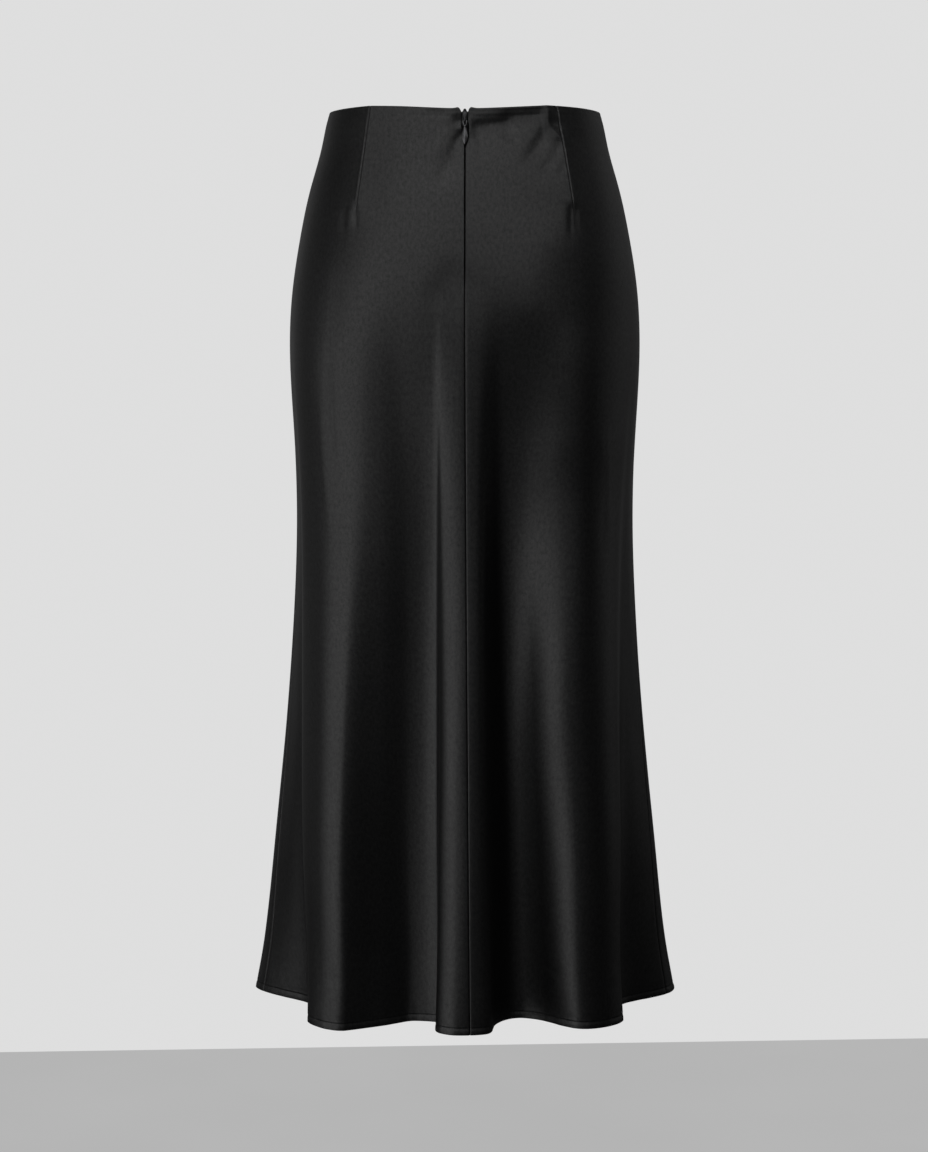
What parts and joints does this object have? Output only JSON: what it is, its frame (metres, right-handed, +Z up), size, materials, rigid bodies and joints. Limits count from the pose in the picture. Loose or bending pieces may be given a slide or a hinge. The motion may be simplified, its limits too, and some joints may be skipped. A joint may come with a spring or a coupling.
{
  "type": "column skirt",
  "caption": "Long satin column skirt held at the waist, smooth over the hips, with an invisible back zip and soft flutes opening to the hem.",
  "frame": {"origin": "middle of the waist opening, level with its highest edge, where the wearer holds the skirt", "axes": "+Z up along the body; -Y the wearer's back, where the zip is; +Y the front; -X the wearer's left"},
  "size_m": [0.4341, 0.3138, 0.8993],
  "materials": {
    "satin": "black heavy satin, soft broad sheen",
    "zip_tape": "matte black woven tape",
    "zip_metal": "black lacquer",
    "pull_metal": "dark satin lacquer"
  },
  "bodies": {
    "skirt": {"front_panel": "satin", "back_panel_left": "satin", "back_panel_right": "satin", "zip_chain": "zip_tape", "zip_slider": "zip_metal"},
    "pull": {"zip_pull": "pull_metal"}
  },
  "joints": [
    {"name": "pull_hinge", "type": "hinge", "parent": "skirt", "child": "pull", "pos_m": [0, -0.0932, -0.0176], "axis": [-1, 0, 0], "range_deg": [0, 130]}
  ]
}
